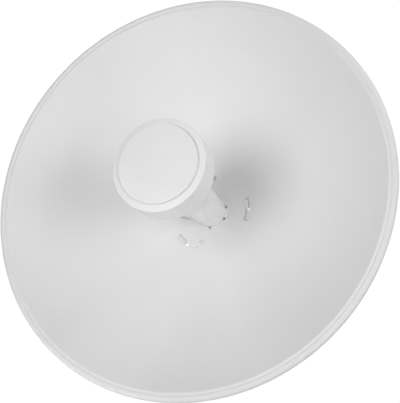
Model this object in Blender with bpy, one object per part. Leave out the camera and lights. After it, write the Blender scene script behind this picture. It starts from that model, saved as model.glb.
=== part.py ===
"""Small parabolic wireless dish antenna on a pole bracket.

Metres, +Z up. The dish looks along -Y and the pole stands behind it, along Z.
The origin is the centre of the bracket's flat saddle face, which lies against the pole.
Angles around the dish's axis run clockwise from the top, as seen from the front.
"""

import math

import bmesh
import bpy
from mathutils import Vector

# Reflector: one pressed sheet with a rolled rim
VERTEX_Y = -0.0880
SHEET = 0.0012
BOWL_RADIUS = 0.2000
BOWL_DEPTH = 0.0737
FOCUS = BOWL_RADIUS**2 / (4.0 * BOWL_DEPTH)
CREST_RADIUS = 0.0042
VALLEY_RADIUS = 0.0008
BEAD_RADIUS = 0.0041
CREST_END_DEG = -25.0
VALLEY_END_DEG = 15.0
BEAD_END_DEG = -270.0
HUB_HOLE_RADIUS = 0.0195

# Features pressed or cut around the hub
SLOT_MIDDLES_DEG = (93.0, 218.5, 335.5)
SLOT_SPAN_DEG = 34.5
SLOT_RADIUS = 0.0414
SLOT_WIDTH = 0.0048
SMALL_HOLE_PLACES = ((9.0, 0.0367), (197.0, 0.0338))
SMALL_HOLE_RADIUS = 0.0022
SIDE_SLIT_ENDS = ((-0.0326, -0.0032), (-0.0224, -0.0057))
SIDE_SLIT_WIDTH = 0.0012

# Feed: a round cap, a cup and cone behind it, and a neck
CAP_FACE_Y = VERTEX_Y - 0.1547
CAP_FACE_RADIUS = 0.0396
CAP_FACE_ROUND = 0.0006
CAP_PLATE_THICKNESS = 0.0050
CAP_GROOVE_RADIUS = 0.0408
CAP_GROOVE_DEPTH = 0.0034
CAP_RING_STEP = 0.0028
CAP_RING_SLOPE = 0.0008
CAP_RADIUS = 0.0465
CAP_EDGE_ROUND = 0.0009
CAP_THICKNESS = 0.0085
CUP_RADIUS = 0.0462
CUP_END_Y = CAP_FACE_Y + 0.0300
CUP_END_ROUND = 0.0080
CONE_END_Y = CAP_FACE_Y + 0.0898
CONE_END_RADIUS = 0.0193
CONE_END_ROUND = 0.0780
NECK_RADIUS = 0.0164
COLLAR_RADIUS = 0.0192
COLLAR_PROUD = 0.0003
COLLAR_NOTCHES_DEG = (79.0, 121.5, 183.0, 300.0)
COLLAR_NOTCH_WIDTH = 0.0024
COLLAR_NOTCH_REACH = 0.0019
COLLAR_NOTCH_DEPTH = 0.0024
COLLAR_LIP_ENDS_DEG = (83.5, 117.0)
COLLAR_LIP_RADII = (0.0169, 0.0180)
COLLAR_LIP_PROUD = 0.0016

# Bayonet ring, moulded with its hooks, behind the sheet
RING_RADIUS = 0.0480
RING_BORE = 0.0210
RING_THICKNESS = 0.0024
RING_CLEARANCE = SHEET + 0.0004
HOOK_GAP_DEG = 1.5
HOOK_PROUD = 0.0018
HOOK_OVERLAP = 0.0014
HOOK_DROP = 0.0006
HOOK_INSET = 0.0014
TONGUE_INSET = 0.0017
TONGUE_DROP = 0.0005
SLOT_END_ROOM_DEG = 0.6
WINDOW_HALF_DEG = HOOK_GAP_DEG + 2.0
WINDOW_INSET = 0.0010
WINDOW_OUTER_ROOM = 0.0016

# Rear housing, its cover and what shows on them
HOUSING_FRONT_RADIUS = 0.0290
HOUSING_BACK_RADIUS = 0.0235
HOUSING_BACK_Y = -0.0500
MOULD_EDGE = 0.0012
COVER_THICKNESS = 0.0040
COVER_LIP = 0.0004
COVER_SCREWS_DEG = (60.0, 180.0, 300.0)
COVER_SCREW_PLACE = 0.0214
COVER_SCREW_RADIUS = 0.0019
COVER_SCREW_HEIGHT = 0.0014
RELEASE_Y = -0.0720
RELEASE_HALF_DEG = 16.0
RELEASE_HALF_LENGTH = 0.0065
RELEASE_HEIGHT = 0.0020
LENS_Y = -0.0590
LENS_HALF_DEG = 13.0
LENS_HALF_LENGTH = 0.0015
LENS_HEIGHT = 0.0009
GROUND_SCREW_Y = -0.0680
GROUND_SCREW_RADIUS = 0.0036
GROUND_SCREW_HEIGHT = 0.0028
PORT_Y = -0.0690
PORT_DEPTH_Z = -0.0120
PORT_HALF_X = 0.0090
PORT_HALF_Y = 0.0075
SOCKET_FIT = 0.0004
SOCKET_MOUTH_Z = -0.0235
SOCKET_WALL = 0.0022
SOCKET_FLOOR = 0.0030

# Ball joint
BALL_Y = -0.0335
BALL_RADIUS = 0.0120
BALL_SEAT_RADIUS = BALL_RADIUS + 0.0004
SOCKET_RADIUS = 0.0190
SOCKET_LENGTH = 0.0130
NUT_RADIUS = 0.0232
NUT_RIBS = 16
NUT_RIB_DEPTH = 0.0012
STEM_RADIUS = 0.0070
NUT_START = 0.0030
NUT_OVERHANG = 0.0070
NUT_EDGE_LENGTH = 0.0010
NUT_EDGE_DROP = 0.0022

# Pole bracket, for a pole 50 mm across
POLE_RADIUS = 0.0250
SADDLE_HALF_WIDTH = 0.0220
SADDLE_HALF_HEIGHT = 0.0220
SADDLE_THICKNESS = 0.0120
JAW_INNER_X = 0.0140
JAW_HEIGHT = POLE_RADIUS - math.sqrt(POLE_RADIUS**2 - JAW_INNER_X**2)
TOOTH_COUNT = 7
TOOTH_DEPTH = 0.0018
TOOTH_SPREAD = 0.62
BOSS_RADIUS = 0.0115
BOSS_LENGTH = 0.0045

# Band clamp round the pole
BAND_THICKNESS = 0.0008
BAND_HALF_WIDTH = 0.00635
BAND_RUN_Y = -0.0062
BAND_CORNER = 0.0030
BAND_SLOT_CLEARANCE = 0.0006
SCREW_HOUSING_Y = 0.0130
SCREW_HOUSING_HALF_LENGTH = 0.0080
SCREW_HOUSING_HEIGHT = 0.0085
SCREW_HOUSING_MARGIN = 0.0010
BAND_SCREW_PLACE = 0.0045
BAND_SCREW_RADIUS = 0.0040
BAND_SCREW_LENGTH = 0.0055

# Small gap that seated pieces keep from each other
GAP = 0.0003
# How far a cutter reaches past what it cuts
CUT_PAST = 0.0010
WELD = 1.0e-7
TURN = 2.0 * math.pi

# How finely the round forms are divided
SHARP_DEG = 35.0
SWEEP_STEP_DEG = 4.0
DISH_STEPS = 64
BOWL_RINGS = 9
RIM_FRONT_STEPS = (3, 2, 8)
RIM_BACK_STEPS = (3, 2, 6)
BROAD_STEPS = 48
SLIM_STEPS = 40
STEM_STEPS = 32
BALL_STEPS = 10
WALL_ROUND_STEPS = 4
RING_ROWS = 3
HOLE_SIDES = 12
COVER_SCREW_SIDES = 16
HEX_SIDES = 6
BOSS_SIDES = 24
NUT_RIB_STEPS = 4
NUT_SEAT_STEPS = 3
BAND_STEPS = 24
BAND_CORNER_STEPS = 4


def clear_scene():
    for item in list(bpy.data.objects):
        bpy.data.objects.remove(item, do_unlink=True)


def material(name, color, roughness, metallic=0.0):
    made = bpy.data.materials.new(name)
    made.use_nodes = True
    shader = made.node_tree.nodes["Principled BSDF"]
    shader.inputs["Base Color"].default_value = (*color, 1.0)
    shader.inputs["Roughness"].default_value = roughness
    shader.inputs["Metallic"].default_value = metallic
    return made


def finish_object(name, bm, surface):
    """Turn a closed bmesh into a named object with its material and smooth round sides."""
    bmesh.ops.recalc_face_normals(bm, faces=bm.faces)
    mesh = bpy.data.meshes.new(name)
    bm.to_mesh(mesh)
    bm.free()
    made = bpy.data.objects.new(name, mesh)
    bpy.context.scene.collection.objects.link(made)
    if surface:
        mesh.materials.append(surface)
    mesh.shade_smooth()
    mesh.set_sharp_from_angle(angle=math.radians(SHARP_DEG))
    return made


def turned(name, profile, steps, surface, ring=True):
    """Spin (radius, y) points about the Y axis; a ring's profile is a closed loop."""
    bm = bmesh.new()
    verts = [bm.verts.new((radius, y, 0.0)) for radius, y in profile]
    pairs = list(zip(verts, verts[1:]))
    if ring:
        pairs.append((verts[-1], verts[0]))
    edges = [bm.edges.new(pair) for pair in pairs]
    bmesh.ops.spin(
        bm, geom=verts + edges, cent=(0, 0, 0), axis=(0, 1, 0), angle=TURN, steps=steps, use_merge=True
    )
    bmesh.ops.remove_doubles(bm, verts=bm.verts, dist=WELD)
    return finish_object(name, bm, surface)


def prism(name, first, second, surface=None):
    """Join two matching loops of points with sides and close both ends."""
    bm = bmesh.new()
    loops = [[bm.verts.new(point) for point in loop] for loop in (first, second)]
    count = len(first)
    caps = [bm.faces.new(loop) for loop in loops]
    for i in range(count):
        j = (i + 1) % count
        bm.faces.new((loops[0][i], loops[0][j], loops[1][j], loops[1][i]))
    bmesh.ops.triangulate(bm, faces=caps)
    return finish_object(name, bm, surface)


def hoop(name, loops, surface):
    """Join matching closed loops in turn, the last to the first, into one hoop."""
    bm = bmesh.new()
    rows = [[bm.verts.new(point) for point in loop] for loop in loops]
    count = len(rows[0])
    for row, following in zip(rows, rows[1:] + rows[:1]):
        for i in range(count):
            j = (i + 1) % count
            bm.faces.new((row[i], row[j], following[j], following[i]))
    return finish_object(name, bm, surface)


def box(name, low, high, surface=None):
    """A block between two corners."""
    bottom = [(low[0], low[1]), (high[0], low[1]), (high[0], high[1]), (low[0], high[1])]
    first = [(x, y, low[2]) for x, y in bottom]
    second = [(x, y, high[2]) for x, y in bottom]
    return prism(name, first, second, surface)


def around(angle_deg, radius, y):
    """The point at an angle clockwise from the top, seen from the front."""
    angle = math.radians(angle_deg)
    return (radius * math.sin(angle), y, radius * math.cos(angle))


def arc_sweep(name, start_deg, end_deg, section, surface=None):
    """Sweep a closed (radius, y) section around the dish's axis, from one angle to another."""
    pieces = max(2, round(abs(end_deg - start_deg) / SWEEP_STEP_DEG))
    bm = bmesh.new()
    rows = []
    for i in range(pieces + 1):
        angle = start_deg + (end_deg - start_deg) * i / pieces
        rows.append([bm.verts.new(around(angle, radius, y)) for radius, y in section])
    count = len(section)
    for row, following in zip(rows, rows[1:]):
        for i in range(count):
            j = (i + 1) % count
            bm.faces.new((row[i], row[j], following[j], following[i]))
    caps = [bm.faces.new(rows[0]), bm.faces.new(rows[-1])]
    bmesh.ops.triangulate(bm, faces=caps)
    return finish_object(name, bm, surface)


def arc_block(name, start_deg, end_deg, radii, depths, surface=None):
    """A block bent around the dish's axis, between two angles, two radii and two depths."""
    section = [(radii[0], depths[0]), (radii[1], depths[0]), (radii[1], depths[1]), (radii[0], depths[1])]
    return arc_sweep(name, start_deg, end_deg, section, surface)


def rod(name, start, end, radius, sides, surface=None, axis="Y"):
    """A round bar between two places along an axis, centred where start and end say."""
    loops = []
    for point in (start, end):
        loop = []
        for i in range(sides):
            a = math.cos(TURN * i / sides) * radius
            b = math.sin(TURN * i / sides) * radius
            x, y, z = point
            loop.append({"X": (x, y + a, z + b), "Y": (x + a, y, z + b), "Z": (x + a, y + b, z)}[axis])
        loops.append(loop)
    return prism(name, loops[0], loops[1], surface)


def combine(target, helper, operation):
    """Cut a helper out of the target, or fuse it on; the helper itself stays hidden."""
    helper.hide_render = True
    helper.display_type = "WIRE"
    step = target.modifiers.new(helper.name, "BOOLEAN")
    step.operation = operation
    step.solver = "EXACT"
    step.object = helper


def filleted(corners, steps):
    """Round each inner (a, b, radius) corner of an open outline with an arc."""
    points = [corners[0][:2]]
    for before, (a, b, radius), after in zip(corners, corners[1:], corners[2:]):
        here = Vector((a, b))
        if not radius:
            points.append((a, b))
            continue
        back = (Vector(before[:2]) - here).normalized()
        on = (Vector(after[:2]) - here).normalized()
        half = back.angle(on) / 2.0
        centre = here + (back + on).normalized() * (radius / math.sin(half))
        start = here + back * (radius / math.tan(half)) - centre
        end = here + on * (radius / math.tan(half)) - centre
        bend = start.angle(end)
        for i in range(steps + 1):
            share = i / steps
            spoke = (start * math.sin((1.0 - share) * bend) + end * math.sin(share * bend)) / math.sin(bend)
            points.append(tuple(centre + spoke))
    points.append(corners[-1][:2])
    return points


def bowl_y(radius):
    """Where the bowl's front surface is at a radius from the axis."""
    return VERTEX_Y - radius**2 / (4.0 * FOCUS)


def behind_sheet(radius, distance):
    """A point square behind the bowl's front surface."""
    slope = radius / (2.0 * FOCUS)
    length = math.hypot(1.0, slope)
    return (radius + distance * slope / length, bowl_y(radius) + distance / length)


def rim_arcs(offset, counts):
    """The rim's crest, valley and rolled bead as arcs, offset behind the front surface.

    The heading is the way the sheet runs: 0 outwards from the axis, 90 degrees forwards.
    """
    start = math.degrees(math.atan(BOWL_RADIUS / (2.0 * FOCUS)))
    arcs = (
        (start, CREST_END_DEG, -CREST_RADIUS),
        (CREST_END_DEG, VALLEY_END_DEG, VALLEY_RADIUS),
        (VALLEY_END_DEG, BEAD_END_DEG, -BEAD_RADIUS),
    )
    radius, y = BOWL_RADIUS, bowl_y(BOWL_RADIUS)
    points = []
    for (first, last, bend), count in zip(arcs, counts):
        centre = (radius - bend * math.sin(math.radians(first)), y - bend * math.cos(math.radians(first)))
        for i in range(1, count + 1):
            heading = math.radians(first + (last - first) * i / count)
            reach = bend + offset
            points.append((centre[0] + reach * math.sin(heading), centre[1] + reach * math.cos(heading)))
        end = math.radians(last)
        radius = centre[0] + bend * math.sin(end)
        y = centre[1] + bend * math.cos(end)
    return points


def build_reflector(surface):
    width = BOWL_RADIUS - HUB_HOLE_RADIUS
    radii = [HUB_HOLE_RADIUS + width * i / BOWL_RINGS for i in range(BOWL_RINGS + 1)]
    front = [(radius, bowl_y(radius)) for radius in radii] + rim_arcs(0.0, RIM_FRONT_STEPS)
    back = [behind_sheet(radius, SHEET) for radius in radii] + rim_arcs(SHEET, RIM_BACK_STEPS)
    dish = turned("dish_reflector", front + back[::-1], DISH_STEPS, surface)
    depths = (bowl_y(SLOT_RADIUS + SLOT_WIDTH) - CUT_PAST, VERTEX_Y + SHEET + CUT_PAST)
    radii = (SLOT_RADIUS - SLOT_WIDTH / 2.0, SLOT_RADIUS + SLOT_WIDTH / 2.0)
    for number, middle in enumerate(SLOT_MIDDLES_DEG, 1):
        half = SLOT_SPAN_DEG / 2.0
        slot = arc_block(f"cut_bayonet_slot_{number}", middle - half, middle + half, radii, depths)
        combine(dish, slot, "DIFFERENCE")
    for number, (angle, radius) in enumerate(SMALL_HOLE_PLACES, 1):
        start, end = (around(angle, radius, y) for y in depths)
        hole = rod(f"cut_round_hole_{number}", start, end, SMALL_HOLE_RADIUS, HOLE_SIDES)
        combine(dish, hole, "DIFFERENCE")
    combine(dish, slit_cutter(depths), "DIFFERENCE")
    return dish


def slit_cutter(depths):
    (x0, z0), (x1, z1) = SIDE_SLIT_ENDS
    length = math.hypot(x1 - x0, z1 - z0)
    side_x = -(z1 - z0) / length * SIDE_SLIT_WIDTH / 2.0
    side_z = (x1 - x0) / length * SIDE_SLIT_WIDTH / 2.0
    outline = [
        (x0 + side_x, z0 + side_z),
        (x0 - side_x, z0 - side_z),
        (x1 - side_x, z1 - side_z),
        (x1 + side_x, z1 + side_z),
    ]
    loops = [[(x, y, z) for x, z in outline] for y in depths]
    return prism("cut_side_slit", loops[0], loops[1])


def build_feed_cap(surface):
    """A flat raised plate, a groove round it and a sloping ring."""
    plate_back = CAP_FACE_Y + CAP_PLATE_THICKNESS
    plate = [
        (0.0, CAP_FACE_Y),
        (CAP_FACE_RADIUS - CAP_FACE_ROUND, CAP_FACE_Y),
        (CAP_FACE_RADIUS, CAP_FACE_Y + CAP_FACE_ROUND),
        (CAP_FACE_RADIUS, plate_back),
        (0.0, plate_back),
    ]
    turned("feed_cap_plate", plate, BROAD_STEPS, surface, ring=False)
    floor = CAP_FACE_Y + CAP_GROOVE_DEPTH
    inner_edge = CAP_FACE_Y + CAP_RING_STEP
    outer_edge = inner_edge + CAP_RING_SLOPE
    back = CAP_FACE_Y + CAP_THICKNESS
    ring = [
        (0.0, plate_back + GAP),
        (CAP_FACE_RADIUS + GAP, plate_back + GAP),
        (CAP_FACE_RADIUS + GAP, floor),
        (CAP_GROOVE_RADIUS, floor),
        (CAP_GROOVE_RADIUS, inner_edge),
        (CAP_RADIUS - CAP_EDGE_ROUND, outer_edge),
        (CAP_RADIUS, outer_edge + CAP_EDGE_ROUND),
        (CAP_RADIUS, back),
        (0.0, back),
    ]
    turned("feed_cap_ring", ring, BROAD_STEPS, surface, ring=False)


def build_feed_housing(surface):
    """The cup behind the cap, the cone that narrows it and the neck down to the hub."""
    top = CAP_FACE_Y + CAP_THICKNESS + GAP
    tail = VERTEX_Y + RING_THICKNESS
    wall = [
        (CUP_RADIUS, top, 0.0),
        (CUP_RADIUS, CUP_END_Y, CUP_END_ROUND),
        (CONE_END_RADIUS, CONE_END_Y, CONE_END_ROUND),
        (NECK_RADIUS, VERTEX_Y, 0.0),
    ]
    profile = [(0.0, top)] + filleted(wall, WALL_ROUND_STEPS) + [(NECK_RADIUS, tail), (0.0, tail)]
    turned("feed_housing", profile, SLIM_STEPS, surface, ring=False)


def build_feed_collar(surface):
    """The ring that fills the hub hole around the neck, with its moulding notches and one lip."""
    inner = NECK_RADIUS + GAP
    front = bowl_y(COLLAR_RADIUS) - COLLAR_PROUD
    back = VERTEX_Y + RING_THICKNESS
    profile = [(inner, front), (COLLAR_RADIUS, front), (COLLAR_RADIUS, back), (inner, back)]
    collar = turned("feed_collar", profile, SLIM_STEPS, surface)
    for number, angle in enumerate(COLLAR_NOTCHES_DEG, 1):
        half = math.degrees(COLLAR_NOTCH_WIDTH / 2.0 / inner)
        radii = (inner - CUT_PAST, inner + COLLAR_NOTCH_REACH)
        depths = (front - CUT_PAST, front + COLLAR_NOTCH_DEPTH)
        notch = arc_block(f"cut_collar_notch_{number}", angle - half, angle + half, radii, depths)
        combine(collar, notch, "DIFFERENCE")
    depths = (front - COLLAR_LIP_PROUD, front + COLLAR_LIP_PROUD)
    combine(collar, arc_block("add_collar_lip", *COLLAR_LIP_ENDS_DEG, COLLAR_LIP_RADII, depths), "UNION")


def build_bayonet_ring(surface):
    """The moulded ring behind the sheet; its hooks come through the slots."""
    radii = [RING_BORE + (RING_RADIUS - RING_BORE) * i / RING_ROWS for i in range(RING_ROWS + 1)]
    front = [(radius, bowl_y(radius) + RING_CLEARANCE) for radius in radii]
    back = [(radius, bowl_y(radius) + RING_CLEARANCE + RING_THICKNESS) for radius in radii]
    ring = turned("bayonet_ring", front + back[::-1], BROAD_STEPS, surface)
    inner = SLOT_RADIUS - SLOT_WIDTH / 2.0
    outer = SLOT_RADIUS + SLOT_WIDTH / 2.0
    half = SLOT_SPAN_DEG / 2.0
    sheet_front = bowl_y(SLOT_RADIUS)
    ring_inside = sheet_front + RING_CLEARANCE + RING_THICKNESS / 2.0
    for number, middle in enumerate(SLOT_MIDDLES_DEG, 1):
        window = arc_block(
            f"cut_window_{number}",
            middle - WINDOW_HALF_DEG,
            middle + WINDOW_HALF_DEG,
            (inner + WINDOW_INSET, outer + WINDOW_OUTER_ROOM),
            (sheet_front - CUT_PAST, ring_inside + RING_THICKNESS + CUT_PAST),
        )
        combine(ring, window, "DIFFERENCE")
        foot_back = bowl_y(outer + HOOK_OVERLAP) - GAP
        hook_front = sheet_front - HOOK_PROUD
        hook_section = [
            (inner + HOOK_INSET, sheet_front + HOOK_DROP),
            (outer + HOOK_OVERLAP, hook_front),
            (outer + HOOK_OVERLAP, foot_back),
            (outer - GAP, foot_back),
            (outer - GAP, ring_inside),
            (inner + HOOK_INSET, ring_inside),
        ]
        start, end = middle + HOOK_GAP_DEG, middle + half - SLOT_END_ROOM_DEG
        combine(ring, arc_sweep(f"add_hook_{number}", start, end, hook_section), "UNION")
        tongue = arc_block(
            f"add_tongue_{number}",
            middle - half + SLOT_END_ROOM_DEG,
            middle - HOOK_GAP_DEG,
            (inner + GAP, outer - TONGUE_INSET),
            (ring_inside, sheet_front + TONGUE_DROP),
        )
        combine(ring, tongue, "UNION")


HOUSING_FRONT_Y = bowl_y(RING_BORE) + RING_CLEARANCE + RING_THICKNESS + GAP


def housing_radius(y):
    share = (y - HOUSING_FRONT_Y) / (HOUSING_BACK_Y - HOUSING_FRONT_Y)
    return HOUSING_FRONT_RADIUS + (HOUSING_BACK_RADIUS - HOUSING_FRONT_RADIUS) * share


def build_rear_housing(surface):
    profile = [
        (0.0, HOUSING_FRONT_Y),
        (HOUSING_FRONT_RADIUS - MOULD_EDGE, HOUSING_FRONT_Y),
        (HOUSING_FRONT_RADIUS, HOUSING_FRONT_Y + MOULD_EDGE),
        (housing_radius(HOUSING_BACK_Y), HOUSING_BACK_Y),
        (0.0, HOUSING_BACK_Y),
    ]
    housing = turned("rear_housing", profile, BROAD_STEPS, surface, ring=False)
    low = (-PORT_HALF_X, PORT_Y - PORT_HALF_Y, -HOUSING_FRONT_RADIUS - CUT_PAST)
    high = (PORT_HALF_X, PORT_Y + PORT_HALF_Y, PORT_DEPTH_Z)
    combine(housing, box("cut_port_recess", low, high), "DIFFERENCE")


def build_housing_cover(surface, steel):
    radius = HOUSING_BACK_RADIUS + COVER_LIP
    front = HOUSING_BACK_Y + GAP
    back = front + COVER_THICKNESS
    profile = [
        (0.0, front),
        (radius, front),
        (radius, back - MOULD_EDGE),
        (radius - MOULD_EDGE, back),
        (0.0, back),
    ]
    turned("housing_cover", profile, BROAD_STEPS, surface, ring=False)
    for number, angle in enumerate(COVER_SCREWS_DEG, 1):
        start = around(angle, COVER_SCREW_PLACE, back + GAP)
        end = around(angle, COVER_SCREW_PLACE, back + GAP + COVER_SCREW_HEIGHT)
        rod(f"cover_screw_{number}", start, end, COVER_SCREW_RADIUS, COVER_SCREW_SIDES, steel)


def housing_band(name, middle_deg, half_deg, low_y, high_y, height, surface):
    """A strip that lies round the tapered housing, a hair above its wall."""
    section = [
        (housing_radius(low_y) + GAP, low_y),
        (housing_radius(low_y) + height, low_y),
        (housing_radius(high_y) + height, high_y),
        (housing_radius(high_y) + GAP, high_y),
    ]
    arc_sweep(name, middle_deg - half_deg, middle_deg + half_deg, section, surface)


def build_housing_fittings(plastic, lens, steel):
    """The release tab on top, the status lens on one side and the ground screw on the other."""
    start, end = RELEASE_Y - RELEASE_HALF_LENGTH, RELEASE_Y + RELEASE_HALF_LENGTH
    housing_band("release_tab", 0.0, RELEASE_HALF_DEG, start, end, RELEASE_HEIGHT, plastic)
    start, end = LENS_Y - LENS_HALF_LENGTH, LENS_Y + LENS_HALF_LENGTH
    housing_band("status_lens", 90.0, LENS_HALF_DEG, start, end, LENS_HEIGHT, lens)
    seat = housing_radius(GROUND_SCREW_Y - GROUND_SCREW_RADIUS) + GAP
    start = (-seat, GROUND_SCREW_Y, 0.0)
    end = (-seat - GROUND_SCREW_HEIGHT, GROUND_SCREW_Y, 0.0)
    rod("ground_screw", start, end, GROUND_SCREW_RADIUS, HEX_SIDES, steel, axis="X")


def build_network_socket(surface):
    """The socket in the port recess: a shell with its mouth facing down."""
    low = (-PORT_HALF_X + SOCKET_FIT, PORT_Y - PORT_HALF_Y + SOCKET_FIT, SOCKET_MOUTH_Z)
    high = (PORT_HALF_X - SOCKET_FIT, PORT_Y + PORT_HALF_Y - SOCKET_FIT, PORT_DEPTH_Z - GAP)
    socket = box("network_socket", low, high, surface)
    mouth_low = (low[0] + SOCKET_WALL, low[1] + SOCKET_WALL, low[2] - CUT_PAST)
    mouth_high = (high[0] - SOCKET_WALL, high[1] - SOCKET_WALL, high[2] - SOCKET_FLOOR)
    combine(socket, box("cut_socket_mouth", mouth_low, mouth_high), "DIFFERENCE")


def build_ball_joint(plastic, grey):
    cover_back = HOUSING_BACK_Y + GAP + COVER_THICKNESS
    front = cover_back + GAP
    back = front + SOCKET_LENGTH
    socket = [
        (BALL_SEAT_RADIUS, front),
        (SOCKET_RADIUS, front),
        (SOCKET_RADIUS, back),
        (BALL_SEAT_RADIUS, back),
    ]
    turned("ball_socket", socket, SLIM_STEPS, plastic)
    ball = []
    neck_angle = math.asin(STEM_RADIUS / BALL_RADIUS)
    for i in range(BALL_STEPS + 1):
        angle = math.pi - (math.pi - neck_angle) * i / BALL_STEPS
        ball.append((BALL_RADIUS * math.sin(angle), BALL_Y + BALL_RADIUS * math.cos(angle)))
    ball[0] = (0.0, BALL_Y - BALL_RADIUS)
    stem_end = -SADDLE_THICKNESS - BOSS_LENGTH - GAP
    stem = ball + [(STEM_RADIUS, stem_end), (0.0, stem_end)]
    turned("ball_stem", stem, STEM_STEPS, grey, ring=False)
    build_lock_nut(front, back, grey)


def build_lock_nut(socket_front, socket_back, surface):
    """A ribbed ring nut over the socket, with a round seat that holds the ball in."""
    back = socket_back + NUT_OVERHANG
    front = socket_front + NUT_START
    inner = SOCKET_RADIUS + GAP
    count = NUT_RIBS * NUT_RIB_STEPS

    def loop(radius, y, ribbed=False):
        points = []
        for i in range(count):
            dipped = ribbed and i % NUT_RIB_STEPS >= NUT_RIB_STEPS / 2
            reach = radius - (NUT_RIB_DEPTH if dipped else 0.0)
            points.append(around(360.0 * i / count, reach, y))
        return points

    loops = [
        loop(inner, front),
        loop(NUT_RADIUS, front, ribbed=True),
        loop(NUT_RADIUS, back - NUT_EDGE_LENGTH, ribbed=True),
        loop(NUT_RADIUS - NUT_EDGE_DROP, back),
    ]
    seat_start = socket_back + GAP
    for i in range(NUT_SEAT_STEPS + 1):
        y = back + (seat_start - back) * i / NUT_SEAT_STEPS
        loops.append(loop(math.sqrt(BALL_SEAT_RADIUS**2 - (y - BALL_Y) ** 2), y))
    loops.append(loop(inner, seat_start))
    hoop("lock_nut", loops, surface)


def build_pole_bracket(surface):
    """A block with a flat saddle between two toothed jaws, and a boss for the ball's stem."""
    half = SADDLE_HALF_WIDTH
    plan = [
        (-half, -SADDLE_THICKNESS),
        (half, -SADDLE_THICKNESS),
        (half, JAW_HEIGHT),
        (JAW_INNER_X, JAW_HEIGHT),
        (JAW_INNER_X, 0.0),
        (-JAW_INNER_X, 0.0),
        (-JAW_INNER_X, JAW_HEIGHT),
        (-half, JAW_HEIGHT),
    ]
    loops = [[(x, y, z) for x, y in plan] for z in (-SADDLE_HALF_HEIGHT, SADDLE_HALF_HEIGHT)]
    bracket = prism("pole_bracket", loops[0], loops[1], surface)
    pitch = 2.0 * SADDLE_HALF_HEIGHT / (TOOTH_COUNT + 1)
    for number in range(TOOTH_COUNT):
        middle = pitch * (number - (TOOTH_COUNT - 1) / 2.0)
        notch = [
            (JAW_HEIGHT + CUT_PAST, middle - pitch * TOOTH_SPREAD),
            (JAW_HEIGHT + CUT_PAST, middle + pitch * TOOTH_SPREAD),
            (JAW_HEIGHT - TOOTH_DEPTH, middle),
        ]
        loops = [[(x, y, z) for y, z in notch] for x in (-half - CUT_PAST, half + CUT_PAST)]
        combine(bracket, prism(f"cut_tooth_gap_{number + 1}", loops[0], loops[1]), "DIFFERENCE")
    boss = rod(
        "add_boss",
        (0.0, -SADDLE_THICKNESS - BOSS_LENGTH, 0.0),
        (0.0, -SADDLE_THICKNESS + CUT_PAST, 0.0),
        BOSS_RADIUS,
        BOSS_SIDES,
    )
    combine(bracket, boss, "UNION")
    half = BAND_HALF_WIDTH + BAND_SLOT_CLEARANCE
    depth = BAND_THICKNESS / 2.0 + BAND_SLOT_CLEARANCE
    low = (-SADDLE_HALF_WIDTH - CUT_PAST, BAND_RUN_Y - depth, -half)
    high = (SADDLE_HALF_WIDTH + CUT_PAST, BAND_RUN_Y + depth, half)
    combine(bracket, box("cut_band_slot", low, high), "DIFFERENCE")


def band_outline(offset):
    """The band's path: a straight run through the bracket, then round the pole."""
    reach = POLE_RADIUS + BAND_THICKNESS / 2.0 + GAP
    points = []
    for i in range(BAND_STEPS + 1):
        angle = math.pi * i / BAND_STEPS
        distance = reach + offset
        points.append((distance * math.cos(angle), POLE_RADIUS + distance * math.sin(angle)))
    for corner_x, first in ((-1, math.pi), (1, 1.5 * math.pi)):
        centre_x = corner_x * (reach - BAND_CORNER)
        centre_y = BAND_RUN_Y + BAND_CORNER
        for i in range(BAND_CORNER_STEPS + 1):
            angle = first + math.pi / 2.0 * i / BAND_CORNER_STEPS
            distance = BAND_CORNER + offset
            points.append((centre_x + distance * math.cos(angle), centre_y + distance * math.sin(angle)))
    return points


def build_clamp_band(steel):
    outer = band_outline(BAND_THICKNESS / 2.0)
    inner = band_outline(-BAND_THICKNESS / 2.0)
    loops = []
    for outline, z in (
        (outer, -BAND_HALF_WIDTH),
        (outer, BAND_HALF_WIDTH),
        (inner, BAND_HALF_WIDTH),
        (inner, -BAND_HALF_WIDTH),
    ):
        loops.append([(x, y, z) for x, y in outline])
    hoop("clamp_band", loops, steel)
    side = POLE_RADIUS + BAND_THICKNESS + 2.0 * GAP
    width = BAND_HALF_WIDTH + SCREW_HOUSING_MARGIN
    end = SCREW_HOUSING_Y + SCREW_HOUSING_HALF_LENGTH
    low = (side, SCREW_HOUSING_Y - SCREW_HOUSING_HALF_LENGTH, -width)
    high = (side + SCREW_HOUSING_HEIGHT, end, width)
    box("band_screw_housing", low, high, steel)
    middle_x = side + BAND_SCREW_PLACE
    near = (middle_x, end + GAP, 0.0)
    far = (middle_x, end + GAP + BAND_SCREW_LENGTH, 0.0)
    rod("band_screw", near, far, BAND_SCREW_RADIUS, HEX_SIDES, steel)


def build():
    clear_scene()
    paint = material("white_powder_coat", (0.80, 0.80, 0.80), 0.45)
    plastic = material("white_plastic", (0.82, 0.82, 0.82), 0.40)
    grey = material("grey_plastic", (0.62, 0.63, 0.64), 0.50)
    dark = material("dark_plastic", (0.05, 0.05, 0.055), 0.50)
    lens = material("clear_lens", (0.55, 0.58, 0.60), 0.20)
    steel = material("stainless_steel", (0.60, 0.60, 0.61), 0.30, 1.0)
    build_reflector(paint)
    build_feed_cap(plastic)
    build_feed_housing(plastic)
    build_feed_collar(plastic)
    build_bayonet_ring(plastic)
    build_rear_housing(plastic)
    build_housing_cover(plastic, steel)
    build_housing_fittings(grey, lens, steel)
    build_network_socket(dark)
    build_ball_joint(plastic, grey)
    build_pole_bracket(grey)
    build_clamp_band(steel)


build()
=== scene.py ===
"""Dressed model of a small parabolic wireless dish antenna on a pole bracket.

Metres, +Z up. The dish looks along -Y and the pole stands behind it, along Z.
The origin is the centre of the bracket's flat saddle face.
Angles around the dish's axis run clockwise from the top, as seen from the front.
"""

import math

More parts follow.
